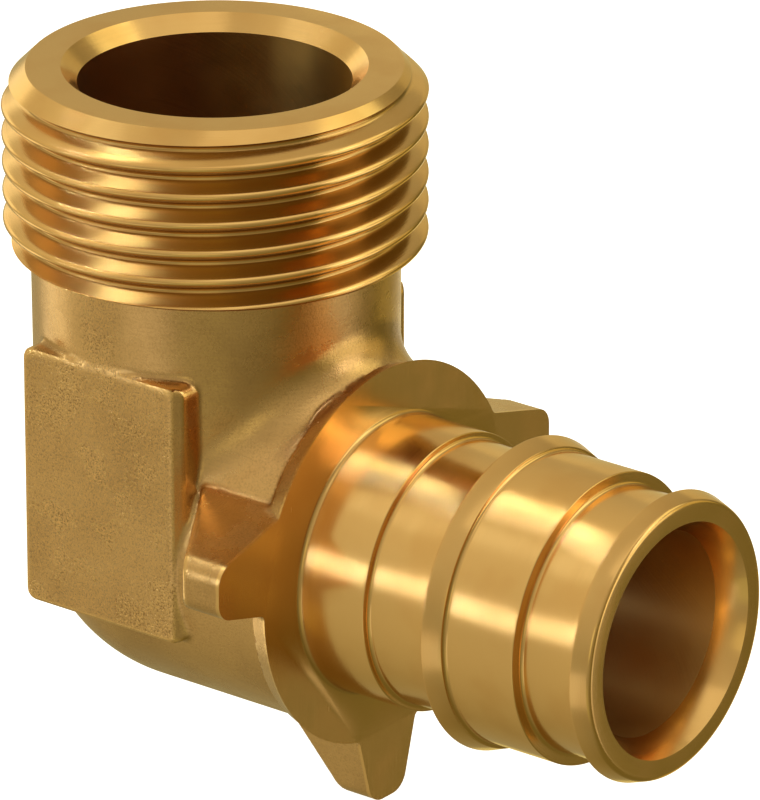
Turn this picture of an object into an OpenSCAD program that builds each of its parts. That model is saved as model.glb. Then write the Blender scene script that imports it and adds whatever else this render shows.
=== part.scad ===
// Manifold elbow adapter: a forged and machined brass elbow with a male pipe thread on top
// and a ribbed spigot for expansion pipe to the side.
// The thread runs up along +Z, the spigot runs out along +X, and the wrench pads face -Y and +Y.
// The origin is the centre of the flat sealing face at the end of the thread.

/* [Legs] */
// Height from the spigot's axis up to the thread's end face
leg_height = 36.7; // [34:0.1:44]
// Distance from the thread's axis out to the end of the spigot
leg_reach = 44.8; // [44:0.1:52]
// Outer radius of the forged upright leg under the thread's shoulder
upright_r = 14.5; // [14.4:0.05:14.9]
// Outer radius of the forged level neck and of the ball corner
neck_r = 14.35; // [14.1:0.05:14.4]
// Radius of the soft fillet in the inner corner of the two legs
inner_fillet_r = 4; // [2.5:0.25:5]

/* [Thread] */
// Major diameter of the male thread, 1 inch parallel pipe thread
thread_d = 33.249; // [32.8:0.001:34]
// Distance from one crest of the thread to the next
thread_pitch = 2.309; // [2.2:0.001:2.4]
// Length of the threaded end, from its face down to the shoulder
thread_length = 14.1; // [14:0.1:14.8]
// Depth of the first thread groove's middle below the end face
first_groove_z = 1.4; // [1.3:0.05:1.5]
// How many grooves the threaded end has
groove_count = 6; // [5:1:6]
// Radius of the flat sealing face's outer edge
face_r = 14.7; // [14:0.05:15]
// Chamfer at the lower end of the thread, above the shoulder
shoulder_chamfer = 0.2; // [0.1:0.1:0.3]

/* [Bores] */
// Radius of the waterway down through the thread
upright_bore_r = 10.7; // [9.5:0.05:11]
// Chamfer at the mouth of that waterway
upright_bore_chamfer = 1.25; // [0.8:0.05:1.5]
// Radius of the waterway through the spigot
spigot_bore_r = 8.2; // [7:0.05:8.5]
// Width of the ring-shaped bevel at the mouth of the spigot
spigot_bevel_w = 1.2; // [0.8:0.05:1.6]
// Depth of that bevel along the spigot
spigot_bevel_depth = 2.25; // [1:0.05:3]

/* [Wrench pads] */
// Distance across the two parallel pads
pad_across = 29.2; // [29:0.1:30]
// Full width of a pad along the spigot's direction
pad_w = 15.9; // [13:0.1:17]
// Height of the pads' top above the spigot's axis
pad_above = 15.9; // [14:0.1:17]
// Depth of the pads' bottom below the spigot's axis
pad_below = 5.6; // [4:0.1:6]
// Radius of the pads' soft edges
pad_edge_r = 0.9; // [0.5:0.1:1.2]

/* [Flange] */
// Distance from the thread's axis to the flange's machined front face
flange_x = 17; // [16.5:0.1:17.5]
// Radius of the flange's round outline at its front face
flange_r = 15.45; // [15.2:0.05:16]
// Thickness of the flange's rim
flange_t = 1.7; // [1:0.1:2]
// How much smaller the rim is at its back
flange_flare = 0.6; // [0:0.05:0.7]
// Distance from the spigot's axis to the tip of a lug
lug_reach = 20.95; // [19.5:0.05:22]
// Half the width of a lug where it leaves the flange
lug_half_w = 3.45; // [3:0.05:4]
// How fast each side of a lug closes in toward its tip
lug_taper = 0.27; // [0.2:0.01:0.3]
// Corner radius of a lug's tip
lug_tip_r = 1.7; // [1.2:0.1:1.8]
// Thickness of a lug at its tip
lug_tip_t = 3.2; // [2.5:0.1:4]
// How far the back of a lug leans away from upright, in degrees
lug_lean = 30; // [20:1:34]
// Rounding of the edge between a lug's tip and its back
lug_back_r = 0.7; // [0.4:0.1:1]
// Radius of the small hollow corners where a lug leaves the flange
lug_root_r = 0.9; // [0.5:0.1:1.2]
// How far the two side lugs sit above the spigot's axis
side_lug_z = 3.35; // [2.5:0.05:4]

/* [Spigot] */
// Radius of the first land, next to the flange
land_1_r = 11.2; // [10.9:0.05:11.4]
// Radius of the second and of the last land
land_2_r = 10.6; // [10.3:0.05:10.8]
// Radius of the land behind the last step
land_3_r = 11.65; // [11.5:0.05:11.75]
// Radius of the tall rib that grips the pipe, at its rear edge
rib_r = 12.6; // [12.1:0.05:12.8]
// How much lower the rib's front edge is
rib_lean = 0.3; // [0:0.05:0.4]
// Radius of the rib around the spigot's end
end_rib_r = 11.6; // [11.3:0.05:11.65]
// Length of the first land
land_1_length = 6.3; // [5:0.1:7]
// Length of the second land
land_2_length = 6.55; // [5:0.05:7]
// Length of the tall rib
rib_length = 1.6; // [1.2:0.1:2]
// Length of the third land
land_3_length = 6.5; // [5:0.1:7]
// Length of the rib around the spigot's end
end_rib_length = 1.6; // [1.4:0.1:2]
// Rounding of the end rib's front edge
end_rib_round = 0.8; // [0.5:0.05:0.9]
// Fillet at the foot of each step
step_fillet_r = 0.35; // [0.2:0.05:0.4]
// Fillet where the spigot leaves the flange
root_fillet_r = 0.55; // [0.3:0.05:0.6]

/* [Hidden] */
$fn = 96;
overlap = 0.5;
thread_r = thread_d / 2;
// a 55 degree thread form with flats as wide as its crests and roots are round
flank_tan = tan(27.5);
thread_depth = 0.640327 * thread_pitch;
root_half_w = (thread_pitch / 2 - thread_depth * flank_tan) / 2;
mouth_half_w = root_half_w + thread_depth * flank_tan;
face_chamfer = thread_r - face_r;
groove_over = 1;
flange_back_x = flange_x - flange_t;
flange_back_r = flange_r - flange_flare;
neck_fillet_r = flange_back_r - neck_r;
lug_root = flange_r - 3;
lug_back_root_x = flange_x - lug_tip_t - (lug_reach - lug_root) * tan(lug_lean);
lug_side_angle = atan(lug_taper);
drill_half_angle = 59;
upright_drill_z = 2;
land_1_end = flange_x + land_1_length;
rib_start = land_1_end + land_2_length;
rib_end = rib_start + rib_length;
land_3_end = rib_end + land_3_length;
end_rib_start = leg_reach - end_rib_length;
fillet_steps = 20;
fillet_arc_steps = 6;
fillet_span = 74;
fillet_dip = 9;

// A ring-shaped groove of the thread, cut from the outside, at a depth below the end face
module thread_groove(depth) {
    translate([0, 0, -depth])
        rotate_extrude()
            polygon([
                [thread_r - thread_depth, -root_half_w],
                [thread_r + groove_over, -mouth_half_w - groove_over * flank_tan],
                [thread_r + groove_over, mouth_half_w + groove_over * flank_tan],
                [thread_r - thread_depth, root_half_w],
            ]);
}

// The threaded end with its chamfers and the shoulder under it
module thread_blank() {
    rotate_extrude()
        polygon([
            [0, 0],
            [face_r, 0],
            [thread_r, -face_chamfer],
            [thread_r, -thread_length + shoulder_chamfer],
            [thread_r - shoulder_chamfer, -thread_length],
            [0, -thread_length],
        ]);
}

module threaded_end() {
    difference() {
        thread_blank();
        for (i = [0:groove_count - 1])
            thread_groove(first_groove_z + i * thread_pitch);
    }
}

// The upright leg, narrowing a little on its way down to the ball corner
module upright_leg() {
    translate([0, 0, -leg_height]) {
        cylinder(h = leg_height - thread_length + overlap, r1 = neck_r, r2 = upright_r);
        sphere(r = neck_r);
    }
}

// One slice of the fillet between the legs, at an angle around the upright leg:
// the round of the fillet first, then two points buried in the metal
function fillet_slice(a) =
    let (
        mid_r = (upright_r + neck_r) / 2,
        c = [(mid_r + inner_fillet_r) * cos(a), -(mid_r + inner_fillet_r) * sin(a), (mid_r + inner_fillet_r) * cos(a)],
        to_upright = [-cos(a), sin(a), 0],
        to_neck = [0, sin(a), -cos(a)],
        opening = acos(to_upright * to_neck),
        span = opening + 2 * fillet_dip,
        side = (to_neck - to_upright * cos(opening)) / sin(opening)
    )
    concat(
        [for (k = [0:fillet_arc_steps])
            let (t = -fillet_dip + span * k / fillet_arc_steps)
            c + inner_fillet_r * (to_upright * cos(t) + side * sin(t))],
        [[mid_r * cos(a) * 0.8, -mid_r * sin(a) * 0.8, mid_r * cos(a) * 0.8]]
    );

// The soft fillet that fills the inner corner of the two legs
module inner_fillet() {
    slices = [for (i = [0:fillet_steps]) fillet_slice(-fillet_span + 2 * fillet_span * i / fillet_steps)];
    n = fillet_arc_steps + 2;
    points = [for (s = slices) for (p = s) p];
    sides = [
        for (i = [0:fillet_steps - 1]) for (k = [0:n - 1])
            for (t = [0:1])
                let (
                    a = i * n + k,
                    b = i * n + (k + 1) % n,
                    c = (i + 1) * n + (k + 1) % n,
                    d = (i + 1) * n + k
                )
                t == 0 ? [a, b, c] : [a, c, d]
    ];
    cap_start = [for (k = [1:n - 2]) [n - 1, k, k - 1]];
    cap_end = [for (k = [1:n - 2]) [fillet_steps * n + n - 1, fillet_steps * n + k - 1, fillet_steps * n + k]];
    translate([0, 0, -leg_height])
        intersection() {
            polyhedron(points = points, faces = concat(sides, cap_start, cap_end), convexity = 4);
            translate([0, -leg_reach, -leg_height])
                cube([flange_x - flange_t / 2, 2 * leg_reach, 3 * leg_height]);
        }
}

// A rectangle with rounded corners, from its lowest corner to its highest
module soft_rect(low, high, r) {
    translate([low[0] + r, low[1]])
        square([high[0] - low[0] - 2 * r, high[1] - low[1]]);
    translate([low[0], low[1] + r])
        square([high[0] - low[0], high[1] - low[1] - 2 * r]);
    for (x = [low[0] + r, high[0] - r])
        for (y = [low[1] + r, high[1] - r])
            translate([x, y])
                circle(r = r);
}

// The two wrench pads, as one block through the elbow
module wrench_pads() {
    half_w = pad_w / 2;
    half_across = pad_across / 2;
    intersection() {
        translate([0, 0, -leg_height - pad_below - overlap])
            linear_extrude(pad_below + pad_above + 2 * overlap)
                soft_rect([-half_w, -half_across], [half_w, half_across], pad_edge_r);
        translate([-half_w - overlap, 0, -leg_height])
            rotate([90, 0, 90])
                linear_extrude(pad_w + 2 * overlap)
                    soft_rect([-half_across, -pad_below], [half_across, pad_above], pad_edge_r);
    }
}

// Outline of one lug, pointing along +X of its own sketch
module lug_outline() {
    corner_x = lug_reach - lug_tip_r;
    corner_y = lug_half_w - (corner_x - flange_r) * lug_taper - lug_tip_r / cos(lug_side_angle);
    side_x = corner_x + lug_tip_r * sin(lug_side_angle);
    side_y = corner_y + lug_tip_r * cos(lug_side_angle);
    root_y = lug_half_w + (flange_r - lug_root) * lug_taper;
    polygon([
        [lug_root, -root_y],
        [side_x, -side_y],
        [lug_reach, -corner_y],
        [lug_reach, corner_y],
        [side_x, side_y],
        [lug_root, root_y],
    ]);
    for (s = [-1, 1])
        translate([corner_x, s * corner_y])
            circle(r = lug_tip_r);
}

// The hollow corner between the flange's round outline and one side of a lug
module lug_root_corner() {
    // the corner's centre lies the same distance off the lug's side and off the flange
    rise = lug_half_w + flange_r * lug_taper + lug_root_r / cos(lug_side_angle);
    steep = 1 + lug_taper * lug_taper;
    reach = flange_r + lug_root_r;
    cx = (rise * lug_taper + sqrt(rise * rise * lug_taper * lug_taper - steep * (rise * rise - reach * reach))) / steep;
    cy = rise - lug_taper * cx;
    foot = [cx - lug_root_r * sin(lug_side_angle), cy - lug_root_r * cos(lug_side_angle)];
    difference() {
        polygon([
            [lug_root, foot[1]],
            foot,
            [cx, cy],
            [cx, cy] * flange_r / reach,
            [lug_root, cy * flange_r / reach],
        ]);
        translate([cx, cy])
            circle(r = lug_root_r);
    }
}

// Side view of a lug: front face, tip, rounded back edge and leaning back
module lug_side_view() {
    lean_run = lug_reach - lug_back_r;
    lean_x = flange_x - lug_tip_t - lug_back_r * tan(lug_lean);
    cx = lean_x + lug_back_r / cos(lug_lean);
    translate([cx, lean_run])
        circle(r = lug_back_r);
    polygon([
        [flange_x, lug_root - overlap],
        [flange_x, lug_reach],
        [cx, lug_reach],
        [cx - lug_back_r * cos(lug_lean), lean_run + lug_back_r * sin(lug_lean)],
        [lug_back_root_x, lug_root],
        [lug_back_root_x, lug_root - overlap],
    ]);
}

// One lug pointing along +Y, its front in the plane of the flange's face, its back sloping to the neck
module lug() {
    intersection() {
        translate([lug_back_root_x - overlap, 0, 0])
            rotate([90, 0, 90])
                linear_extrude(flange_x - lug_back_root_x + overlap)
                    lug_outline();
        translate([0, 0, -2 * lug_half_w])
            linear_extrude(4 * lug_half_w)
                lug_side_view();
    }
    translate([flange_x - flange_t, 0, 0])
        rotate([90, 0, 90])
            linear_extrude(flange_t) {
                lug_root_corner();
                mirror([0, 1])
                    lug_root_corner();
            }
}

module lugs() {
    translate([0, 0, -leg_height]) {
        rotate([-90, 0, 0])
            lug();
        translate([0, 0, side_lug_z])
            lug();
        translate([0, 0, side_lug_z])
            mirror([0, 1, 0])
                lug();
    }
}

// Half section of everything turned about the spigot's axis, with X as the distance along it:
// the neck, the fillet behind the flange, the flange and the spigot's lands and ribs
module turned_half() {
    square([flange_back_x, neck_r]);
    difference() {
        translate([flange_back_x - neck_fillet_r, 0])
            square([neck_fillet_r, flange_back_r]);
        translate([flange_back_x - neck_fillet_r, flange_back_r])
            circle(r = neck_fillet_r);
    }
    polygon([[flange_back_x, 0], [flange_back_x, flange_back_r], [flange_x, flange_r], [flange_x, 0]]);
    square([land_1_end, land_1_r]);
    square([leg_reach - overlap, land_2_r]);
    polygon([[rib_start, 0], [rib_start, rib_r], [rib_end, rib_r - rib_lean], [rib_end, 0]]);
    translate([rib_start, 0])
        square([land_3_end - rib_start, land_3_r]);
    translate([end_rib_start, 0])
        square([end_rib_length - end_rib_round, end_rib_r]);
    translate([end_rib_start, 0])
        square([end_rib_length, end_rib_r - end_rib_round]);
    translate([leg_reach - end_rib_round, end_rib_r - end_rib_round])
        circle(r = end_rib_round);
    step_foot(flange_x, land_1_r, root_fillet_r);
    step_foot(land_1_end, land_2_r, step_fillet_r);
    step_foot(rib_end, land_3_r, step_fillet_r);
    step_foot(land_3_end, land_2_r, step_fillet_r);
}

// The fillet where a step down meets the land in front of it
module step_foot(x, r, fillet_r) {
    difference() {
        translate([x - overlap / 5, r - overlap / 5])
            square(fillet_r + overlap / 5);
        translate([x + fillet_r, r + fillet_r])
            circle(r = fillet_r);
    }
}

module neck_and_spigot() {
    translate([0, 0, -leg_height])
        rotate([0, 90, 0])
            rotate([0, 0, 90])
                rotate_extrude()
                    rotate([0, 0, 90])
                        mirror([0, 1])
                            turned_half();
}

// Both waterways, drilled in from their mouths until they meet
module waterways() {
    drill_tip = upright_bore_r / tan(drill_half_angle);
    spigot_tip = spigot_bore_r / tan(drill_half_angle);
    bevel_over = overlap * spigot_bevel_w / spigot_bevel_depth;
    rotate_extrude()
        polygon([
            [0, overlap],
            [upright_bore_r + upright_bore_chamfer + overlap, overlap],
            [upright_bore_r, -upright_bore_chamfer],
            [upright_bore_r, -leg_height - upright_drill_z],
            [0, -leg_height - upright_drill_z - drill_tip],
        ]);
    translate([0, 0, -leg_height])
        rotate([0, 90, 0])
            rotate_extrude()
                polygon([
                    [0, -spigot_tip],
                    [spigot_bore_r, 0],
                    [spigot_bore_r, leg_reach - spigot_bevel_depth],
                    [spigot_bore_r + spigot_bevel_w + bevel_over, leg_reach + overlap],
                    [0, leg_reach + overlap],
                ]);
}

module elbow_body() {
    color([0.76, 0.6, 0.32])
        difference() {
            union() {
                threaded_end();
                upright_leg();
                neck_and_spigot();
                inner_fillet();
                wrench_pads();
                lugs();
            }
            waterways();
        }
}

elbow_body();
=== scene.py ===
import math

import bmesh
import bpy
import numpy as np
from mathutils import Matrix, Vector


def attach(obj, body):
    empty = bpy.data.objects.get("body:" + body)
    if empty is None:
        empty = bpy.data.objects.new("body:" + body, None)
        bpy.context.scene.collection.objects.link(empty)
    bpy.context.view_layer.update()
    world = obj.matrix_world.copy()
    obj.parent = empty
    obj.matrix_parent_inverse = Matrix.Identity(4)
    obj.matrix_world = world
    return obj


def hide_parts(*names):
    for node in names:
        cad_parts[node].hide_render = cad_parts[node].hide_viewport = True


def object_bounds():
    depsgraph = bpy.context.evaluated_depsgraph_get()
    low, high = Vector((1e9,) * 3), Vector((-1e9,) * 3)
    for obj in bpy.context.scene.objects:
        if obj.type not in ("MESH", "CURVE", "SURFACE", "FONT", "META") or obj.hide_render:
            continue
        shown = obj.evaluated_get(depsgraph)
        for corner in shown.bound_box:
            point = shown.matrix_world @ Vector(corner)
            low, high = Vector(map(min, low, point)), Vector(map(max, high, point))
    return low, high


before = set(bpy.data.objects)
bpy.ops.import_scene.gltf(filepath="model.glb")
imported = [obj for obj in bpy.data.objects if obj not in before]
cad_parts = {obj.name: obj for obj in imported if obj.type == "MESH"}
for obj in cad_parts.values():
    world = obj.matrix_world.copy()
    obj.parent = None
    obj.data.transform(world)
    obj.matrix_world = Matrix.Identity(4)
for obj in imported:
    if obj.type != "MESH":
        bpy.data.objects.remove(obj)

CAD_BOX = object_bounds()
MM = 0.001
CAD_NODE = "elbow_body"

# The camera stands where the photograph's stood: right, back and up from the part, in millimetres
CAMERA_PLACE = (390.62, -481.29, 226.73)
CAMERA_AZIMUTH = 37.879
CAMERA_ELEVATION = 22.357
CAMERA_LENS = 383.0
SENSOR_WIDTH = 36.0

# Sizes in millimetres. They are the solid's, but for the near lug's own two, the lugs' buried ends and
# root fillets, the ribs' leans, the end rib's round and the spigot's root fillet
LEG_HEIGHT = 36.7
LEG_REACH = 44.8
UPRIGHT_R = 14.5
NECK_R = 14.35
INNER_FILLET_R = 4.0

THREAD_R = 33.249 / 2
THREAD_PITCH = 2.309
THREAD_LENGTH = 14.1
FLANK_HALF_ANGLE = math.radians(27.5)
FACE_R = 14.7
THREAD_END_CHAMFER = 0.2

# The standard thread's depth, and the round of its roots and crests, as shares of the pitch. The helix
# is placed by the height of its groove's middle at angle 0
THREAD_DEPTH = 0.640327
THREAD_ROUND = 0.137329
GROOVE_Z_AT_ZERO = -1.043

UPRIGHT_BORE_R = 10.7
UPRIGHT_BORE_CHAMFER = 1.25
SPIGOT_BORE_R = 8.2
SPIGOT_BEVEL_W = 1.2
SPIGOT_BEVEL_DEPTH = 2.25
UPRIGHT_DRILL_END = -LEG_HEIGHT - 2.0
DRILL_HALF_ANGLE = math.radians(59)

PAD_ACROSS = 29.2
PAD_W = 15.9
PAD_ABOVE = 15.9
PAD_BELOW = 5.6
PAD_CORNER_R = 0.9

FLANGE_X = 17.0
FLANGE_R = 15.45
FLANGE_T = 1.7
FLANGE_FLARE = 0.6
LUG_REACH = 20.95
LUG_HALF_W = 3.45
LUG_TAPER = 0.27
LUG_TIP_R = 1.7
LUG_TIP_T = 3.2
LUG_LEAN = math.radians(30)
LUG_BACK_R = 0.7
LUG_ROOT_R = 0.5
SIDE_LUG_Z = 3.35
LUG_ROOT = 8.0
NEAR_LUG_EXTRA_T = 0.4
NEAR_LUG_BACK_R = 0.45

LAND_1_R = 11.2
LAND_2_R = 10.6
LAND_3_R = 11.65
RIB_R = 12.6
RIB_LEAN = 0.6
END_RIB_R = 11.6
LAND_1_END = FLANGE_X + 6.3
RIB_START = LAND_1_END + 6.55
RIB_END = RIB_START + 1.6
LAND_3_END = RIB_END + 6.5
END_RIB_START = LEG_REACH - 1.6
END_RIB_LEAN = 0.55
END_RIB_ROUND = 0.45
STEP_FILLET_R = 0.35
ROOT_FILLET_R = 0.48

# Small softening of the turned edges, and of the forging's own corners. The pads' faces end in crisp
# edges, set in a little on two sides to keep the solid's outline, and in a bevel on the flange's side
TURNED_EDGE_R = 0.1
PAD_EDGE_R = 0.32
PAD_FOOT_R = 0.5
PAD_BEVEL = 0.8
PAD_BACK_IN = 0.28
PAD_BOTTOM_IN = 0.15
NECK_FILLET_R = 0.35
RIM_EDGE_R = 0.2

# Finishes: linear red, green and blue
BRASS = (0.86, 0.53, 0.215, 1)
BRASS_DEEP = (0.74, 0.40, 0.13, 1)
# painted shade for the turned grooves and the thread's downward flanks
GROOVE_PAINTED_SHADE = (0.22, 0.115, 0.035, 1)
FORGED = (0.74, 0.455, 0.20, 1)
FORGED_BROWN = (0.40, 0.22, 0.085, 1)
# painted shade for the forging's hollows
FORGED_PAINTED_SHADE = (0.24, 0.12, 0.05, 1)
# the waterways' painted light and painted shade, for the bore's two sides
WATERWAY_PAINTED_LIGHT = (0.95, 0.62, 0.20, 1)
WATERWAY_PAINTED_SHADE = (0.30, 0.14, 0.07, 1)

# Sizes of the marks in the finishes, in millimetres. A stroke has a size along x, y and z
FINE_LINES = 0.09
COARSE_LINES = 0.42
LATHE_STAINS = 5.0
LATHE_RELIEF = 0.0035
BRUSH_STROKES = (1.0, 0.12, 3.5)
BRUSH_STAINS = 4.0
BRUSH_RELIEF = 0.005
GRAIN = 0.16
PITS = 0.17
FLECKS = 0.15
GRAIN_RELIEF = 0.022
PATCHES = 3.2
BLOTS = 7.0
FLAT_STROKES = (2.2, 2.2, 0.22)
WAVE_RELIEF = 0.025
DRILL_RINGS = 0.25
DRILL_STAINS = 6.0
DRILL_RELIEF = 0.006

# The light: a dome's base colour, its brighter sides, and soft panels. A panel is its name, azimuth
# and elevation, width and height in degrees, and its light. The strips shine through the part
DOME_BASE = (0.18, 0.16, 0.05)
DOME_SIDES = (
    ((-1, 0, 0), (0.35, 0.32, 0.21)),
    ((0, -1, 0), (0.23, 0.23, 0.20)),
    ((0, 0, 1), (0.37, 0.34, 0.27)),
)
LAMP_DISTANCE = 1.5
LAMPS_AIM = (0.012, 0, -0.03)
STRIPS = (
    ("front_strip", -125, 6, 34, 13, (1.30, 1.45, 1.45)),
    ("high_strip", -170, 53, 15, 24, (0.85, 1.0, 0.98)),
    ("high_left_strip", 171, 60.5, 10, 10, (1.9, 2.0, 1.5)),
)
PANELS = (
    ("left_panel", 160, 9, 30, 20, (0.69, 0.66, 0.44)),
    ("low_left_panel", -173, -22, 28, 24, (0.66, 0.66, 0.54)),
    ("high_front_panel", -141, 49, 16, 16, (0.22, 0.26, 0.26)),
    ("camera_panel", -61, 7, 24, 22, (0.36, 0.36, 0.18)),
    ("right_panel", 28, 3, 36, 30, (0.95, 0.92, 0.60)),
    ("far_right_panel", 58, 12, 30, 24, (0.36, 0.30, 0.09)),
    ("back_panel", 50, 42, 36, 24, (0.80, 0.83, 0.48)),
    ("side_panel", 110, 6, 36, 30, (0.24, 0.20, 0.08)),
    ("high_right_panel", 24, 30, 24, 22, (1.45, 1.40, 1.20)),
    ("top_panel", 0, 68, 60, 30, (0.30, 0.30, 0.24)),
    ("low_back_panel", 112, -20, 26, 20, (0.36, 0.34, 0.28)),
    ("under_panel", 100, -35, 50, 26, (0.42, 0.34, 0.08)),
    ("low_front_panel", -95, -28, 28, 26, (0.31, 0.30, 0.26)),
    ("low_right_panel", 30, -18, 28, 26, (0.52, 0.50, 0.44)),
    ("low_camera_panel", -60, -36, 30, 24, (0.12, 0.14, 0.04)),
)

# How finely things are divided, and how near the thread's vertices are when they are welded
NET_STEP = 0.3
TURNED_SEGMENTS = 192
ARC_STEPS = 6
THREAD_STEPS_PER_TURN = 128
THREAD_PROFILE_STEPS = 22
THREAD_WELD = 0.004
TINY = 1e-9


# Camera, made first

def make_camera():
    azimuth = math.radians(CAMERA_AZIMUTH)
    elevation = math.radians(CAMERA_ELEVATION)
    back = Vector((
        math.sin(azimuth) * math.cos(elevation),
        -math.cos(azimuth) * math.cos(elevation),
        math.sin(elevation),
    ))
    data = bpy.data.cameras.new("camera")
    data.lens = CAMERA_LENS
    data.sensor_width = SENSOR_WIDTH
    data.clip_start = 0.05
    data.clip_end = 20
    camera = bpy.data.objects.new("camera", data)
    bpy.context.scene.collection.objects.link(camera)
    camera.location = Vector(CAMERA_PLACE) * MM
    camera.rotation_euler = (-back).to_track_quat("-Z", "Y").to_euler()
    bpy.context.scene.camera = camera


# Node trees: numbers written as sums, and one way to make any other node

class Number:
    """A number in a node tree. A sum, a product or the like of it adds a Math node."""

    def __init__(self, tree, socket):
        self.tree = tree
        self.socket = socket

    def math(self, operation, *others):
        return self.node(operation, (self, *others))

    def node(self, operation, values):
        made = self.tree.nodes.new("ShaderNodeMath")
        made.operation = operation
        for place, value in enumerate(values):
            if isinstance(value, Number):
                self.tree.links.new(value.socket, made.inputs[place])
            else:
                made.inputs[place].default_value = value
        return Number(self.tree, made.outputs[0])

    def __add__(self, other):
        return self.math("ADD", other)

    def __sub__(self, other):
        return self.math("SUBTRACT", other)

    def __rsub__(self, other):
        return self.node("SUBTRACT", (other, self))

    def __mul__(self, other):
        return self.math("MULTIPLY", other)

    def __truediv__(self, other):
        return self.math("DIVIDE", other)

    def __pow__(self, other):
        return self.math("POWER", other)

    def __neg__(self):
        return self * -1.0

    def __abs__(self):
        return self.math("ABSOLUTE")

    __radd__ = __add__
    __rmul__ = __mul__

    def cos(self):
        return self.math("COSINE")

    def sin(self):
        return self.math("SINE")

    def root(self):
        return self.math("SQRT")

    def least(self, other):
        return self.math("MINIMUM", other)

    def most(self, other):
        return self.math("MAXIMUM", other)

    def under(self, other):
        return self.math("LESS_THAN", other)

    def ramp(self, low, high):
        """0 below low, 1 above high, smooth in between."""
        share = ((self - low) / (high - low)).most(0).least(1)
        return share * share * (3 - 2 * share)


class Tree:
    """Makes nodes in a tree: their type, then their settings, then their sockets."""

    def __init__(self, tree):
        self.tree = tree

    def node(self, kind, settings=None, sockets=None):
        made = self.tree.nodes.new(kind)
        for name, value in (settings or {}).items():
            setattr(made, name, value)
        for name, value in (sockets or {}).items():
            if isinstance(value, Number):
                self.tree.links.new(value.socket, made.inputs[name])
            elif isinstance(value, bpy.types.NodeSocket):
                self.tree.links.new(value, made.inputs[name])
            else:
                made.inputs[name].default_value = value
        return made

    def number(self, kind, settings=None, sockets=None, output=0):
        return Number(self.tree, self.node(kind, settings, sockets).outputs[output])

    def mixed(self, share, one, two):
        """A colour between two colours."""
        return self.node("ShaderNodeMix", {"data_type": "RGBA"}, {0: share, 6: one, 7: two}).outputs[2]

    def split(self, vector):
        """A vector's three numbers."""
        parts = self.node("ShaderNodeSeparateXYZ", sockets={"Vector": vector})
        return [Number(self.tree, part) for part in parts.outputs]

    def place(self):
        """Where a point of the surface is on the part, in millimetres."""
        here = self.node("ShaderNodeTexCoord").outputs["Object"]
        return [along / MM for along in self.split(here)]

    def bend(self):
        """How sharply the surface bends at a point, as note_bends writes it."""
        return self.number("ShaderNodeAttribute", {"attribute_name": "bend"}, output="Fac")

    def speckle(self, x, y, z, size, detail=2.0):
        """Noise whose blots are about the sizes given along x, y and z."""
        sizes = size if isinstance(size, tuple) else (size, size, size)
        scaled = self.node("ShaderNodeCombineXYZ", sockets={
            "X": x * (1 / sizes[0]), "Y": y * (1 / sizes[1]), "Z": z * (1 / sizes[2]),
        })
        return self.number("ShaderNodeTexNoise", sockets={
            "Vector": scaled.outputs[0], "Scale": 1.0, "Detail": detail,
        })

    def lines(self, place, size):
        """Noise along one number only, as a turning tool leaves it."""
        return self.number("ShaderNodeTexNoise", {"noise_dimensions": "1D"}, {
            "W": place * (1 / size), "Scale": 1.0, "Detail": 1.0,
        })

    def raised(self, height, depth, under=None):
        """A surface raised by a height from 0 to 1, of a depth in millimetres, over another one's."""
        sockets = {"Strength": 1.0, "Distance": depth * MM, "Height": height}
        if under is not None:
            sockets["Normal"] = under
        return self.node("ShaderNodeBump", sockets=sockets).outputs[0]


# Meshes

def object_of(name, vertices, faces):
    mesh = bpy.data.meshes.new(name)
    mesh.from_pydata([tuple(v) for v in vertices], [], [tuple(f) for f in faces])
    mesh.validate()
    made = bpy.data.objects.new(name, mesh)
    bpy.context.scene.collection.objects.link(made)
    return made


def evaluated_mesh(made):
    """Replaces an object's mesh by what its modifiers make of it, and takes the modifiers off."""
    graph = bpy.context.evaluated_depsgraph_get()
    result = bpy.data.meshes.new_from_object(made.evaluated_get(graph), depsgraph=graph)
    made.modifiers.clear()
    made.data = result


def combine(made, other, operation):
    """Joins another solid to one, cuts it out, or keeps only what both hold. The other one is used up."""
    step = made.modifiers.new("combine", "BOOLEAN")
    step.operation = operation
    step.solver = "MANIFOLD"
    step.object = other
    bpy.context.view_layer.update()
    evaluated_mesh(made)
    bpy.data.objects.remove(other)


def rounded(corners):
    """A profile through corners (x, r, radius), each turned as an arc of its radius."""
    points = []
    for place, (x, r, radius) in enumerate(corners):
        here = np.array((x, r), float)
        if not radius:
            points.append(here)
            continue
        before = np.array(corners[place - 1][:2], float) - here
        after = np.array(corners[(place + 1) % len(corners)][:2], float) - here
        before /= np.linalg.norm(before)
        after /= np.linalg.norm(after)
        half = math.acos(np.clip(before @ after, -1, 1)) / 2
        middle = (before + after) / np.linalg.norm(before + after)
        centre = here + middle * radius / math.sin(half)
        start = here + before * radius / math.tan(half) - centre
        end = here + after * radius / math.tan(half) - centre
        sweep = math.pi - 2 * half
        for k in range(ARC_STEPS + 1):
            share = k / ARC_STEPS
            a = math.sin((1 - share) * sweep) / math.sin(sweep)
            b = math.sin(share * sweep) / math.sin(sweep)
            points.append(centre + a * start + b * end)
    return points


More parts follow.
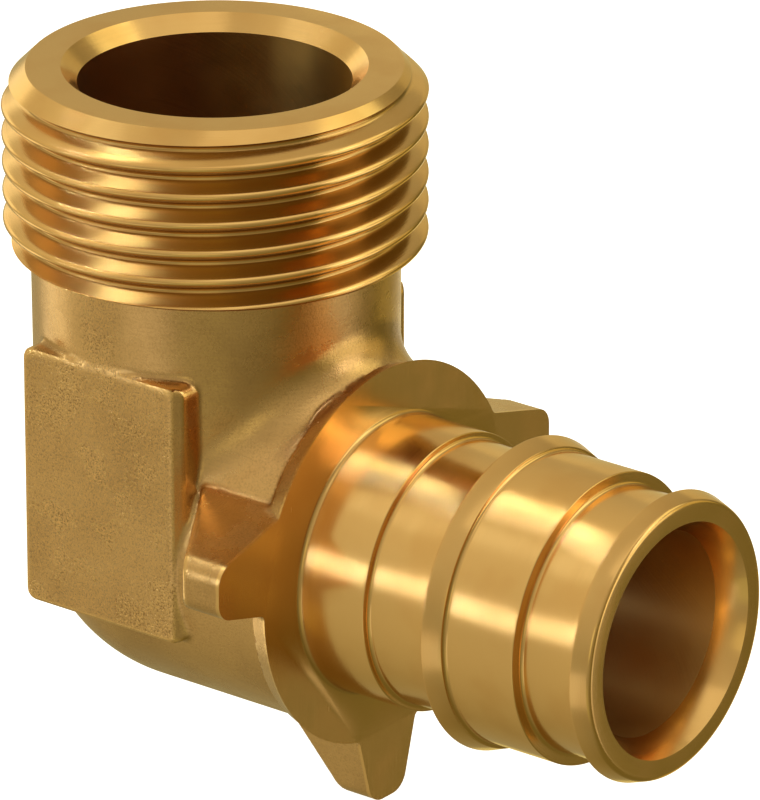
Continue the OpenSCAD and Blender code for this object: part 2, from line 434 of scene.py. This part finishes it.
def turned(name, profile, along_x):
    """A closed solid turned from a profile of distances along the axis and radii, both ends on the axis."""
    angles = [2 * math.pi * k / TURNED_SEGMENTS for k in range(TURNED_SEGMENTS)]
    vertices = []
    rings = []
    for h, r in profile:
        if r < TINY:
            rings.append([len(vertices)])
            vertices.append(placed(h, 0, 0, along_x))
            continue
        rings.append(list(range(len(vertices), len(vertices) + TURNED_SEGMENTS)))
        vertices.extend(placed(h, r * math.cos(a), r * math.sin(a), along_x) for a in angles)
    faces = []
    for low, high in zip(rings, rings[1:]):
        for k in range(TURNED_SEGMENTS):
            n = (k + 1) % TURNED_SEGMENTS
            if len(low) == 1:
                faces.append((low[0], high[n], high[k]))
            elif len(high) == 1:
                faces.append((low[k], low[n], high[0]))
            else:
                faces.append((low[k], low[n], high[n], high[k]))
    made = object_of(name, vertices, faces)
    outward(made)
    return made


def placed(h, a, b, along_x):
    """A point at h along an axis: the spigot's or the thread's."""
    return (h, a, b - LEG_HEIGHT) if along_x else (a, b, h)


def outward(made):
    work = bmesh.new()
    work.from_mesh(made.data)
    bmesh.ops.recalc_face_normals(work, faces=work.faces)
    work.to_mesh(made.data)
    work.free()


def cut_flat(made, point, normal):
    """Cuts off what lies beyond a plane and closes the cut."""
    work = bmesh.new()
    work.from_mesh(made.data)
    bmesh.ops.bisect_plane(
        work,
        geom=work.verts[:] + work.edges[:] + work.faces[:],
        plane_co=point,
        plane_no=normal,
        clear_outer=True,
        dist=1e-6,
    )
    rim = [e for e in work.edges if e.is_boundary]
    bmesh.ops.holes_fill(work, edges=rim)
    bmesh.ops.triangulate(work, faces=[f for f in work.faces if len(f.verts) > 4])
    bmesh.ops.recalc_face_normals(work, faces=work.faces)
    work.to_mesh(made.data)
    work.free()


# The forged body, as distances to its surface: each form gives, for many points at once,
# the distance to it and the direction away from it

def dots(a, b):
    return np.einsum("ij,ij->i", a, b)


def leg_form(points, along, radius, widening=0.0):
    """A round leg that starts in a ball at the corner and runs on without end."""
    height = points @ along
    across = points - np.outer(height, along)
    away = np.where((height > 0)[:, None], across, points)
    length = np.maximum(np.linalg.norm(away, axis=1), TINY)
    return length - radius - widening * np.maximum(height, 0), away / length[:, None]


def slab_form(points, along, middle, half):
    """All that lies within half of a middle plane."""
    height = points @ along - middle
    side = np.where(height < 0, -1.0, 1.0)
    return np.abs(height) - half, side[:, None] * along


def plane_form(points, normal, distance):
    normal = np.array(normal, float)
    length = np.linalg.norm(normal)
    value = (points @ normal - distance) / length
    return value, np.broadcast_to(normal / length, points.shape)


def rim_form(points, slope, radius_at_face):
    """The flange's rim, a cone round the spigot's axis that grows toward the front face."""
    across = points * (0, 1, 1)
    radius = np.maximum(np.linalg.norm(across, axis=1), TINY)
    scale = 1 / math.hypot(1, slope)
    value = (radius - radius_at_face - slope * (points[:, 0] - FLANGE_X)) * scale
    normal = (across / radius[:, None] - (slope, 0, 0)) * scale
    return value, normal


def joined(one, two, radius):
    """Both forms, with a fillet of a ball's radius rolled along where they meet."""
    least_spread = 1e-3
    (a, towards_a), (b, towards_b) = one, two
    facing = dots(towards_a, towards_b)
    spread = 1 - facing * facing
    safe = np.maximum(spread, least_spread)
    share_a = ((radius - a) - facing * (radius - b)) / safe
    share_b = ((radius - b) - facing * (radius - a)) / safe
    to_ball = share_a[:, None] * towards_a + share_b[:, None] * towards_b
    length = np.maximum(np.linalg.norm(to_ball, axis=1), TINY)
    rolled = (share_a > 0) & (share_b > 0) & (spread > least_spread)
    nearer = a < b
    value = np.where(rolled, radius - length, np.where(nearer, a, b))
    plain = np.where(nearer[:, None], towards_a, towards_b)
    return value, np.where(rolled[:, None], to_ball / length[:, None], plain)


def trimmed(one, two, radius):
    """What both forms hold, with the edge between them rounded."""
    value, away = joined((-one[0], -one[1]), (-two[0], -two[1]), radius)
    return -value, -away


def lug_form(points, along, across, offset, tip_t, back_r):
    """A tapered lug that points along one direction, its back leaning toward the neck."""
    taper = (1 + LUG_TAPER ** 2) ** 0.5
    reach = points @ along
    sideways = points @ across - offset
    form = None
    for side in (1, -1):
        value = (side * sideways + LUG_TAPER * (reach - FLANGE_R) - LUG_HALF_W) / taper
        normal = np.broadcast_to((side * across + LUG_TAPER * along) / taper, points.shape)
        if form is None:
            form = trimmed((value, normal), plane_form(points, along, LUG_REACH), LUG_TIP_R)
        else:
            form = trimmed(form, (value, normal), LUG_TIP_R)
    lean = math.tan(LUG_LEAN)
    normal = along * lean - np.array((1.0, 0, 0))
    distance = -(FLANGE_X - tip_t - LUG_REACH * lean)
    form = trimmed(form, plane_form(points, normal, distance), back_r)
    return trimmed(form, plane_form(points, -along, -LUG_ROOT), back_r)


def pads_form(points):
    """Both wrench pads as one block through the body."""
    x, y, z = np.eye(3)
    below = PAD_BELOW - PAD_BOTTOM_IN
    pads = trimmed(
        slab_form(points, x, PAD_BACK_IN / 2, (PAD_W - PAD_BACK_IN) / 2),
        slab_form(points, z, (PAD_ABOVE - below) / 2, (PAD_ABOVE + below) / 2),
        PAD_CORNER_R,
    )
    pads = trimmed(pads, slab_form(points, y, 0, PAD_ACROSS / 2), PAD_EDGE_R)
    side = np.where(points[:, 1] < 0, -1.0, 1.0)
    slanted = points[:, 0] + side * points[:, 1] - (PAD_W + PAD_ACROSS) / 2 + PAD_BEVEL
    towards = np.stack((np.ones(len(points)), side, np.zeros(len(points))), 1)
    return trimmed(pads, (slanted / math.sqrt(2), towards / math.sqrt(2)), PAD_EDGE_R)


def forging(points):
    """The whole forged body. Points are in millimetres with the spigot's axis at height 0."""
    x, y, z = np.eye(3)
    widening = (UPRIGHT_R - NECK_R) / (LEG_HEIGHT - THREAD_LENGTH)
    body = joined(
        leg_form(points, z, NECK_R, widening),
        leg_form(points, x, NECK_R),
        INNER_FILLET_R,
    )
    body = joined(body, pads_form(points), PAD_FOOT_R)
    flange = trimmed(
        rim_form(points, FLANGE_FLARE / FLANGE_T, FLANGE_R),
        plane_form(points, -x, -(FLANGE_X - FLANGE_T)),
        RIM_EDGE_R,
    )
    body = joined(body, flange, NECK_FILLET_R)
    for along, across, offset, tip_t, back_r in (
        (y, z, SIDE_LUG_Z, LUG_TIP_T, LUG_BACK_R),
        (-y, z, SIDE_LUG_Z, LUG_TIP_T + NEAR_LUG_EXTRA_T, NEAR_LUG_BACK_R),
        (-z, y, 0, LUG_TIP_T, LUG_BACK_R),
    ):
        body = joined(body, lug_form(points, along, across, offset, tip_t, back_r), LUG_ROOT_R)
    return body


def grid_inside(form, low, counts, step):
    """Which points of a grid lie inside a form. Its first, last and top layers count as outside."""
    ticks = [low[k] + step * np.arange(counts[k]) for k in range(3)]
    inside = np.zeros(counts, bool)
    layer = np.stack(np.meshgrid(ticks[1], ticks[2], indexing="ij"), -1).reshape(-1, 2)
    for k, x in enumerate(ticks[0]):
        points = np.column_stack((np.full(len(layer), x), layer))
        inside[k] = (form(points)[0] < 0).reshape(counts[1:])
    inside[0] = inside[-1] = False
    inside[:, :, -1] = False
    return inside


def net_over(form, low, high, step):
    """A mesh of squares over a form's surface, one vertex in each grid cell that the surface crosses."""
    counts = np.ceil((np.array(high) - low) / step).astype(int) + 1
    inside = grid_inside(form, low, counts, step)
    corners = sum(
        inside[i:counts[0] - 1 + i, j:counts[1] - 1 + j, k:counts[2] - 1 + k].astype(np.int8)
        for i in (0, 1) for j in (0, 1) for k in (0, 1)
    )
    crossed = (corners > 0) & (corners < 8)
    number = np.full(crossed.shape, -1)
    number[crossed] = np.arange(crossed.sum())
    vertices = np.argwhere(crossed) * step + np.array(low) + step / 2
    faces = []
    for axis in range(3):
        first = np.take(inside, range(counts[axis] - 1), axis)
        second = np.take(inside, range(1, counts[axis]), axis)
        for solid_first in (True, False):
            found = np.argwhere((first != second) & (first == solid_first))
            b, c = (axis + 1) % 3, (axis + 2) % 3
            found = found[(found[:, b] > 0) & (found[:, c] > 0)]
            found = found[(found[:, b] < counts[b] - 1) & (found[:, c] < counts[c] - 1)]
            square = []
            for db, dc in ((1, 1), (0, 1), (0, 0), (1, 0)):
                cell = found.copy()
                cell[:, b] -= db
                cell[:, c] -= dc
                square.append(number[tuple(cell.T)])
            square = np.stack(square, 1)
            faces.append(square if solid_first else square[:, ::-1])
    return vertices, np.concatenate(faces)


def settle(form, vertices, faces, steps):
    """Draws the net's vertices onto the surface and evens them out along it."""
    longest_move = 0.5
    too_far = 0.01
    smoothings = 12
    edges = np.concatenate([faces[:, (k, (k + 1) % 4)] for k in range(4)])
    edges = np.concatenate((edges, edges[:, ::-1]))
    degree = np.maximum(np.bincount(edges[:, 0], minlength=len(vertices)), 1)

    def middles():
        sums = [np.bincount(edges[:, 0], vertices[edges[:, 1], k], len(vertices)) for k in range(3)]
        return np.stack(sums, 1) / degree[:, None]

    for turn in range(steps):
        for _ in range(3):
            value, away = form(vertices)
            vertices = vertices - np.clip(value, -longest_move, longest_move)[:, None] * away
        if turn < steps - 1:
            vertices = vertices + 0.5 * (middles() - vertices)
    # where a ledge is too low for its fillet, the points keep off the surface: they are smoothed over
    astray = np.abs(form(vertices)[0]) > too_far
    for _ in range(smoothings):
        vertices[astray] = middles()[astray]
    return vertices


def make_forging():
    """The forged body's mesh, cut flat at the flange's front face."""
    margin = 1.5
    low = np.array((-UPRIGHT_R - margin, -LUG_REACH - margin, -LUG_REACH - margin))
    # the front face falls on a grid plane, half way between two rows of vertices
    low[0] = FLANGE_X - math.ceil((FLANGE_X - low[0]) / NET_STEP) * NET_STEP
    high = (FLANGE_X + 3 * NET_STEP, LUG_REACH + margin, LEG_HEIGHT - THREAD_LENGTH + 2)
    vertices, faces = net_over(forging, low, high, NET_STEP)

    def closed(points):
        top = high[2] - NET_STEP
        front = high[0] - NET_STEP
        form = trimmed(forging(points), plane_form(points, (0, 0, 1), top), NET_STEP)
        return trimmed(form, plane_form(points, (1, 0, 0), front), NET_STEP)

    vertices = settle(closed, vertices, faces, 6)
    vertices[:, 2] -= LEG_HEIGHT
    made = object_of("manifold_elbow_adapter", vertices, faces)
    cut_flat(made, (FLANGE_X, 0, 0), (1, 0, 0))
    return made


# The threaded end

def thread_radius(value, off):
    """The radius at a distance from the middle of the groove: 55 degree flanks between rounds."""
    pitch = value["Pitch"]
    flank = value["Flank half angle"]
    depth = pitch * THREAD_DEPTH
    round_r = pitch * THREAD_ROUND
    touch = round_r * flank.cos()
    from_crest = pitch * 0.5 - off
    root_round = round_r - (round_r * round_r - off.least(touch) ** 2).root()
    crest_round = depth - round_r + (round_r * round_r - from_crest.least(touch) ** 2).root()
    straight = round_r * (1 - flank.sin()) + (off - touch) * flank.cos() / flank.sin()
    in_root = off.under(touch)
    in_crest = from_crest.under(touch)
    height = in_root * root_round + in_crest * crest_round + (1 - in_root - in_crest) * straight
    return value["Crest radius"] - (depth - height)


def thread_inputs(tree):
    """Makes the inputs of the thread's tree, and gives them by name."""
    for name, kind in (
        ("Crest radius", "NodeSocketFloat"),
        ("Pitch", "NodeSocketFloat"),
        ("Flank half angle", "NodeSocketFloat"),
        ("Lowest groove height", "NodeSocketFloat"),
        ("Turns", "NodeSocketInt"),
        ("Steps per turn", "NodeSocketInt"),
        ("Profile steps", "NodeSocketInt"),
        ("Finish", "NodeSocketMaterial"),
    ):
        tree.interface.new_socket(name, in_out="INPUT", socket_type=kind)
    given = tree.nodes.new("NodeGroupInput")
    return {s.name: Number(tree, s) for s in given.outputs if s.name}


def thread_tree():
    """Geometry nodes for a threaded bar's skin: one ribbon, a pitch wide, wound up the thread's helix."""
    tree = bpy.data.node_groups.new("thread_helix", "GeometryNodeTree")
    tree.is_modifier = True
    value = thread_inputs(tree)
    tree.interface.new_socket("Geometry", in_out="OUTPUT", socket_type="NodeSocketGeometry")
    make = Tree(tree)
    grid = make.node("GeometryNodeMeshGrid", sockets={
        "Size X": 1.0,
        "Size Y": 1.0,
        "Vertices X": value["Turns"] * value["Steps per turn"] + 1,
        "Vertices Y": value["Profile steps"] + 1,
    })
    along, across, _ = make.split(make.node("GeometryNodeInputPosition").outputs[0])
    turn = (along + 0.5) * value["Turns"]
    pitch = value["Pitch"]
    middle_z = value["Lowest groove height"] + turn * pitch
    angle = turn * (2 * math.pi)
    radius = thread_radius(value, abs(across) * pitch)
    place = make.node("ShaderNodeCombineXYZ", sockets={
        "X": radius * angle.cos(),
        "Y": radius * angle.sin(),
        "Z": middle_z + across * pitch,
    })
    wound = make.node("GeometryNodeSetPosition", sockets={
        "Geometry": grid.outputs["Mesh"], "Position": place.outputs[0],
    })
    merged = make.node("GeometryNodeMergeByDistance", sockets={
        "Geometry": wound.outputs[0], "Distance": THREAD_WELD,
    })
    realized = make.node("GeometryNodeRealizeInstances", sockets={"Geometry": merged.outputs[0]})
    finished = make.node("GeometryNodeSetMaterial", sockets={
        "Geometry": realized.outputs[0], "Material": value["Finish"],
    })
    result = make.node("NodeGroupOutput")
    tree.links.new(finished.outputs[0], result.inputs["Geometry"])
    return tree


def make_threaded_bar(finish):
    """A bar with the helix on it, a little longer than the threaded end both ways."""
    turns_below = 7
    turns = 9
    bar = object_of("threaded_bar", [(0, 0, 0)], [])
    winder = bar.modifiers.new("helix", "NODES")
    winder.node_group = thread_tree()
    given = {
        "Crest radius": THREAD_R,
        "Pitch": THREAD_PITCH,
        "Flank half angle": FLANK_HALF_ANGLE,
        "Lowest groove height": GROOVE_Z_AT_ZERO - turns_below * THREAD_PITCH,
        "Turns": turns,
        "Steps per turn": THREAD_STEPS_PER_TURN,
        "Profile steps": THREAD_PROFILE_STEPS,
        "Finish": finish,
    }
    for item in winder.node_group.interface.items_tree:
        if item.in_out == "INPUT":
            winder[item.identifier] = given[item.name]
    bpy.context.view_layer.update()
    evaluated_mesh(bar)
    over = 1.0
    cut_flat(bar, (0, 0, over), (0, 0, 1))
    cut_flat(bar, (0, 0, -THREAD_LENGTH - over), (0, 0, -1))
    return bar


def make_thread(finish):
    """The threaded end: the bar, trimmed by the blank's faces and chamfers."""
    bar = make_threaded_bar(finish)
    reach = THREAD_R + 0.2
    face_depth = reach - FACE_R
    end_r = THREAD_R - THREAD_END_CHAMFER
    blank = turned("thread_blank", rounded([
        (0, 0, 0),
        (0, FACE_R, TURNED_EDGE_R),
        (-face_depth, reach, 0),
        (-THREAD_LENGTH + reach - end_r, reach, 0),
        (-THREAD_LENGTH, end_r, 0),
        (-THREAD_LENGTH, 0, 0),
    ]), along_x=False)
    combine(bar, blank, "INTERSECT")
    return bar


# The spigot and the waterways

def make_spigot():
    """The turned spigot, its inner end buried in the forging."""
    buried = 5.0
    sunk = 0.02
    edge = TURNED_EDGE_R
    return turned("spigot", rounded([
        (buried, 0, 0),
        (buried, LAND_1_R + 2 * ROOT_FILLET_R, 0),
        (FLANGE_X - sunk, LAND_1_R + 2 * ROOT_FILLET_R, 0),
        (FLANGE_X - sunk, LAND_1_R, ROOT_FILLET_R),
        (LAND_1_END, LAND_1_R, edge),
        (LAND_1_END, LAND_2_R, STEP_FILLET_R),
        (RIB_START, LAND_2_R, edge),
        (RIB_START, RIB_R, edge),
        (RIB_END, RIB_R - RIB_LEAN, edge),
        (RIB_END, LAND_3_R, STEP_FILLET_R),
        (LAND_3_END, LAND_3_R, edge),
        (LAND_3_END, LAND_2_R, STEP_FILLET_R),
        (END_RIB_START, LAND_2_R, edge),
        (END_RIB_START, END_RIB_R, edge),
        (LEG_REACH, END_RIB_R - END_RIB_LEAN, END_RIB_ROUND),
        (LEG_REACH, 0, 0),
    ]), along_x=True)


def make_waterways():
    """Both waterways, drilled in from their mouths until they meet."""
    over = 0.5
    bevel_over = over * SPIGOT_BEVEL_W / SPIGOT_BEVEL_DEPTH
    upright = turned("upright_waterway", rounded([
        (over, 0, 0),
        (over, UPRIGHT_BORE_R + UPRIGHT_BORE_CHAMFER + over, 0),
        (-UPRIGHT_BORE_CHAMFER, UPRIGHT_BORE_R, 0),
        (UPRIGHT_DRILL_END, UPRIGHT_BORE_R, 0),
        (UPRIGHT_DRILL_END - UPRIGHT_BORE_R / math.tan(DRILL_HALF_ANGLE), 0, 0),
    ]), along_x=False)
    level = turned("spigot_waterway", rounded([
        (-SPIGOT_BORE_R / math.tan(DRILL_HALF_ANGLE), 0, 0),
        (0, SPIGOT_BORE_R, 0),
        (LEG_REACH - SPIGOT_BEVEL_DEPTH, SPIGOT_BORE_R, 0),
        (LEG_REACH + over, SPIGOT_BORE_R + SPIGOT_BEVEL_W + bevel_over, 0),
        (LEG_REACH + over, 0, 0),
    ]), along_x=True)
    combine(upright, level, "UNION")
    return upright


# Finishes. A number added to x, y, z or a path only keeps one noise apart from another

def new_material(name):
    material = bpy.data.materials.new(name)
    material.use_nodes = True
    material.node_tree.nodes.clear()
    return material, Tree(material.node_tree)


def finish_material(make, shader):
    result = make.node("ShaderNodeOutputMaterial")
    make.tree.links.new(shader.outputs[0], result.inputs["Surface"])


def metal(make, colour, roughness, normal):
    shader = make.node("ShaderNodeBsdfPrincipled", sockets={
        "Base Color": colour, "Metallic": 1.0, "Roughness": roughness, "Normal": normal,
    })
    finish_material(make, shader)


def turned_brass(name, along_x):
    """Bright brass as the lathe leaves it, with fine lines round the axis, and painted shade in its grooves
    and, on the thread, on the flanks that face down.
    """
    material, make = new_material(name)
    x, y, z = make.place()
    hollow_shade = (-make.bend()).ramp(0.4, 1.6)
    along, a, b = (x, y, z + LEG_HEIGHT) if along_x else (z, x, y)
    radius = (a * a + b * b).root()
    # a number that changes on cylinders and on flat faces alike
    path = radius - along * 0.7
    fine = make.lines(path, FINE_LINES)
    coarse = make.lines(path + 31.0, COARSE_LINES)
    stain = make.speckle(x, y, z, LATHE_STAINS).ramp(0.42, 0.68)
    colour = make.mixed(stain * 0.35 + fine * 0.08, BRASS, BRASS_DEEP)
    # painted shade in the grooves, where the surface bends inward
    colour = make.mixed(hollow_shade * 0.75, colour, GROOVE_PAINTED_SHADE)
    if not along_x:
        # the thread's flanks that face down get painted shade
        upward = make.split(make.node("ShaderNodeNewGeometry").outputs["True Normal"])[2]
        colour = make.mixed((-upward).ramp(0.3, 0.8) * 0.6, colour, GROOVE_PAINTED_SHADE)
    roughness = 0.13 + 0.05 * stain + 0.07 * fine + 0.03 * coarse
    metal(make, colour, roughness, make.raised(fine * 0.6 + coarse * 0.4, LATHE_RELIEF))
    return material


def brushed_brass(name):
    """The flange's front face, brushed up and down."""
    material, make = new_material(name)
    x, y, z = make.place()
    strokes = make.speckle(x, y, z, BRUSH_STROKES)
    stain = make.speckle(x, y, z, BRUSH_STAINS).ramp(0.4, 0.7)
    colour = make.mixed(stain * 0.4 + strokes * 0.15, BRASS, BRASS_DEEP)
    roughness = 0.17 + 0.08 * strokes + 0.05 * stain
    metal(make, colour, roughness, make.raised(strokes, BRUSH_RELIEF))
    return material


def forged_brass(name):
    """The forging's matte skin: grain and pits in patches, worn edges with a painted highlight along them,
    and painted shade in its hollows.
    """
    material, make = new_material(name)
    x, y, z = make.place()
    bend = make.bend()
    # edges are lighter: wear, and a painted highlight along them
    worn_and_highlit = bend.ramp(0.25, 1.0)
    # painted shade in the forging's hollows, where the surface bends inward
    hollow_shade = (-bend).ramp(0.3, 1.4)
    grain = make.speckle(x, y, z, GRAIN, 3.0)
    patches = make.speckle(x, y, z, PATCHES, 3.0).ramp(0.42, 0.62)
    # the pads' faces are grainier than the rest
    out_at_face = abs(y).ramp(PAD_ACROSS / 2 - 0.3, PAD_ACROSS / 2 - 0.1)
    beside_pad = abs(x).ramp(PAD_W / 2 + 0.25, PAD_W / 2 + 0.85)
    coarse = 0.3 + 0.7 * out_at_face * (1 - beside_pad)
    pits = make.speckle(x + 17.0, y, z, PITS).ramp(0.48, 0.62)
    flecks = make.speckle(x, y, z + 43.0, FLECKS).ramp(0.5, 0.64)
    blots = make.speckle(x, y + 29.0, z, BLOTS, 3.0).ramp(0.4, 0.7)
    strokes = make.speckle(x, y, z + 11.0, FLAT_STROKES)
    dull = blots * 0.3 + strokes * 0.2 + pits * coarse * (0.45 + 0.4 * patches)
    # bright brass on the edges, worn and with a painted highlight, and on the grain's flecks
    bright = (worn_and_highlit * 0.85).most(flecks * coarse * (0.4 + 0.5 * patches))
    colour = make.mixed(dull, FORGED, FORGED_BROWN)
    # the hollows get painted shade
    colour = make.mixed(hollow_shade * 0.7, colour, FORGED_PAINTED_SHADE)
    colour = make.mixed(bright, colour, BRASS)
    roughness = 0.21 + 0.08 * patches + 0.05 * grain - 0.05 * worn_and_highlit + 0.05 * hollow_shade
    waves = make.raised(blots * 0.6 + strokes * 0.4, WAVE_RELIEF)
    skin = make.raised((grain * (0.6 + 0.4 * patches) - pits * 0.5) * coarse, GRAIN_RELIEF, waves)
    metal(make, colour, roughness, skin)
    return material


def waterway_brass(name):
    """The drilled waterways: dull, with the drill's rings, with painted light toward the camera's right and
    painted shade to the left and in the spigot.
    """
    material, make = new_material(name)
    x, y, z = make.place()
    rings = make.lines(z + x * 0.8, DRILL_RINGS)
    stain = make.speckle(x, y, z, DRILL_STAINS, 3.0).ramp(0.35, 0.7)
    # how far a point lies to the camera's right: the bore gets painted light on that side and painted shade
    # on the other
    rightward = x * 0.79 + y * 0.61
    in_spigot = x.ramp(10.0, 14.0)
    bright = rightward.ramp(-3.0, 7.0) * (1 - 0.65 * in_spigot)
    # painted shade on the left and in the spigot, painted light on the right
    colour = make.mixed(bright, WATERWAY_PAINTED_SHADE, WATERWAY_PAINTED_LIGHT)
    metal(make, colour, 0.3 + 0.1 * stain + 0.06 * rings, make.raised(rings, DRILL_RELIEF))
    return material


# The zones, in the order of the finishes that are made for them
SKIN, TURNED_ABOUT_Z, TURNED_ABOUT_X, FLANGE_FACE, INSIDE = range(5)


def vectors_of(parts, name):
    """One vector for each face or vertex of a mesh."""
    values = np.zeros(len(parts) * 3)
    parts.foreach_get(name, values)
    return values.reshape(-1, 3)


def share_out_finishes(made, finishes):
    """Gives each face the finish of the zone that it lies in."""
    mesh = made.data
    mesh.materials.clear()
    for finish in finishes:
        mesh.materials.append(finish)
    x, y, z = vectors_of(mesh.polygons, "center").T
    from_upright = np.hypot(x, y)
    from_level = np.hypot(y, z + LEG_HEIGHT)
    hair = 0.02
    zone = np.full(len(x), SKIN)
    zone[z > -THREAD_LENGTH - hair] = TURNED_ABOUT_Z
    zone[x > FLANGE_X - hair] = TURNED_ABOUT_X
    zone[(abs(x - FLANGE_X) < hair / 2) & (from_level > LAND_1_R + ROOT_FILLET_R)] = FLANGE_FACE
    lowest_drilled = UPRIGHT_DRILL_END - UPRIGHT_BORE_R / math.tan(DRILL_HALF_ANGLE) - hair
    upright_bore = (from_upright < UPRIGHT_BORE_R + hair) & (z > lowest_drilled)
    upright_bore &= z < -UPRIGHT_BORE_CHAMFER
    level_bore = (from_level < SPIGOT_BORE_R + hair) & (x > -UPRIGHT_BORE_R)
    level_bore &= x < LEG_REACH - SPIGOT_BEVEL_DEPTH
    zone[upright_bore | level_bore] = INSIDE
    mesh.polygons.foreach_set("material_index", zone.astype(np.int32))


def smooth_shading(made):
    """Smooth shading between the edges, and flat shading on the machined flat faces."""
    mesh = made.data
    x, _, z = vectors_of(mesh.polygons, "center").T
    straight = np.abs(vectors_of(mesh.polygons, "normal")) > 0.9999
    hair = 0.01
    flat = straight[:, 0] & ((abs(x - FLANGE_X) < hair) | (x > LEG_REACH - hair))
    flat |= straight[:, 2] & ((z > -hair) | (abs(z + THREAD_LENGTH) < hair))
    mesh.polygons.foreach_set("use_smooth", ~flat)
    mesh.set_sharp_from_angle(angle=math.radians(32))


def note_bends(made):
    """Writes how sharply the surface bends at each point: above 0 on edges, below 0 in hollows."""
    mesh = made.data
    count = len(mesh.vertices)
    places = vectors_of(mesh.vertices, "co")
    normals = vectors_of(mesh.vertices, "normal")
    ends = np.zeros(len(mesh.edges) * 2, np.int32)
    mesh.edges.foreach_get("vertices", ends)
    one, two = ends.reshape(-1, 2).T
    step = places[two] - places[one]
    # very short edges count as longer, so that they don't read as sharp bends
    shortest_squared = 0.02
    squared = np.maximum(dots(step, step), shortest_squared)
    bend = dots(normals[two] - normals[one], step) / squared
    total = np.bincount(one, bend, count) + np.bincount(two, bend, count)
    degree = np.bincount(one, minlength=count) + np.bincount(two, minlength=count)
    noted = mesh.attributes.new("bend", "FLOAT", "POINT")
    noted.data.foreach_set("value", (total / np.maximum(degree, 1)).astype(np.float32))


# Floor, light and background

def make_stage():
    """A pale floor that the part's own reflections and shadows leave out, as in a light tent."""
    size = 6.0
    floor_z = CAD_BOX[0].z
    floor = object_of("floor", [
        (-size, -size, floor_z), (size, -size, floor_z), (size, size, floor_z), (-size, size, floor_z),
    ], [(0, 1, 2, 3)])
    material, make = new_material("pale_floor")
    shader = make.node("ShaderNodeBsdfPrincipled", sockets={
        "Base Color": (0.8, 0.8, 0.8, 1), "Roughness": 0.9,
        "Emission Color": (1, 1, 1, 1), "Emission Strength": 1.0,
    })
    finish_material(make, shader)
    floor.data.materials.append(material)
    floor.visible_glossy = False
    floor.visible_diffuse = False
    floor.visible_shadow = False


def softbox(name, azimuth, elevation, wide, high, light, through):
    """A soft panel of light toward an azimuth and elevation, its size in degrees as the part sees it.

    A panel that shines through lights the part's far sides too, as if the part cast no shadow."""
    a, e = math.radians(azimuth), math.radians(elevation)
    towards = Vector((math.cos(a) * math.cos(e), math.sin(a) * math.cos(e), math.sin(e)))
    data = bpy.data.lights.new(name, "AREA")
    data.shape = "RECTANGLE"
    data.size = 2 * LAMP_DISTANCE * math.tan(math.radians(wide / 2))
    data.size_y = 2 * LAMP_DISTANCE * math.tan(math.radians(high / 2))
    data.color = [share / max(light) for share in light]
    data.energy = max(light) * math.pi * data.size * data.size_y
    data.use_shadow = not through
    data.cycles.use_multiple_importance_sampling = not through
    lamp = bpy.data.objects.new(name, data)
    bpy.context.scene.collection.objects.link(lamp)
    lamp.location = Vector(LAMPS_AIM) + towards * LAMP_DISTANCE
    lamp.rotation_euler = (-towards).to_track_quat("-Z", "Y").to_euler()
    lamp.visible_camera = False


def make_lights():
    """A warm dome, brighter to the left, the front and above, and soft panels."""
    world = bpy.data.worlds.new("studio")
    bpy.context.scene.world = world
    world.use_nodes = True
    world.node_tree.nodes.clear()
    make = Tree(world.node_tree)
    towards = make.node("ShaderNodeTexCoord").outputs["Generated"]
    glow = DOME_BASE
    for direction, colour in DOME_SIDES:
        facing = make.number("ShaderNodeVectorMath", {"operation": "DOT_PRODUCT"}, {
            0: towards, 1: direction,
        }, output="Value").most(0)
        side = make.node("ShaderNodeVectorMath", {"operation": "SCALE"}, {0: colour, "Scale": facing})
        glow = make.node("ShaderNodeVectorMath", {"operation": "ADD"}, {
            0: glow, 1: side.outputs[0],
        }).outputs[0]
    dome = make.node("ShaderNodeBackground", sockets={"Color": glow, "Strength": 1.0})
    result = make.node("ShaderNodeOutputWorld")
    world.node_tree.links.new(dome.outputs[0], result.inputs["Surface"])
    for strip in STRIPS:
        softbox(*strip, through=True)
    for panel in PANELS:
        softbox(*panel, through=False)
    bpy.context.scene.view_settings.view_transform = "Standard"


make_camera()
finishes = [
    forged_brass("forged_skin"),
    turned_brass("turned_thread_end", along_x=False),
    turned_brass("turned_spigot", along_x=True),
    brushed_brass("brushed_flange_face"),
    waterway_brass("drilled_waterway"),
]
elbow = make_forging()
combine(elbow, make_thread(finishes[TURNED_ABOUT_Z]), "UNION")
combine(elbow, make_spigot(), "UNION")
combine(elbow, make_waterways(), "DIFFERENCE")
share_out_finishes(elbow, finishes)
smooth_shading(elbow)
note_bends(elbow)
elbow.data.transform(Matrix.Scale(MM, 4))
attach(elbow, "root")
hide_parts(CAD_NODE)
make_stage()
make_lights()
